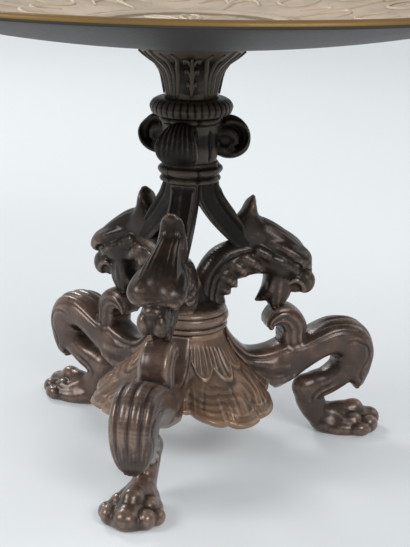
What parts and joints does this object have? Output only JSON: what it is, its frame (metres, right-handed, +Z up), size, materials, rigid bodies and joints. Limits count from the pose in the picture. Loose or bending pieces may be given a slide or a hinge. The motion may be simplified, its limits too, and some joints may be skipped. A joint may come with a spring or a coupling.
{
  "type": "tripod bowl",
  "caption": "Shallow round dish on a short leafy stem, carried by crested beast heads over a leaf-cut bell and lion-footed scroll legs.",
  "frame": {"origin": "on the floor, under the middle of the stem", "axes": "+Z up along the stem, front leg along -Y, the other two at 120 degrees to it"},
  "size_m": [0.29, 0.29, 0.1915],
  "materials": {
    "dish_bronze": "worn patina, golden at the rim",
    "stem_bronze": "dark waxed patina",
    "beast_bronze": "dark brown patina, worn on the high spots",
    "leg_bronze": "red-brown patina, worn on the high spots",
    "bell_bronze": "brown patina, dull in the hollows",
    "fixings": "plain, oxidised"
  },
  "bodies": {
    "root": {"dish": "dish_bronze", "calyx": "stem_bronze", "gadroon_collar": "stem_bronze", "abacus": "stem_bronze", "capital": "stem_bronze", "stem_ring": "stem_bronze", "hub_ring": "beast_bronze", "leaf_bell": "bell_bronze", "stud": "fixings", "tie_bolt": "fixings", "washer": "fixings", "volute_front": "stem_bronze", "volute_right": "stem_bronze", "volute_left": "stem_bronze", "strut_front": "stem_bronze", "strut_right": "stem_bronze", "strut_left": "stem_bronze", "beast_front": "beast_bronze", "beast_right": "beast_bronze", "beast_left": "beast_bronze", "leg_front": "leg_bronze", "leg_right": "leg_bronze", "leg_left": "leg_bronze", "leg_screw_front": "fixings", "leg_screw_right": "fixings", "leg_screw_left": "fixings", "strut_pin_front": "fixings", "strut_pin_right": "fixings", "strut_pin_left": "fixings", "neck_pin_front": "fixings", "neck_pin_right": "fixings", "neck_pin_left": "fixings"}
  },
  "joints": []
}
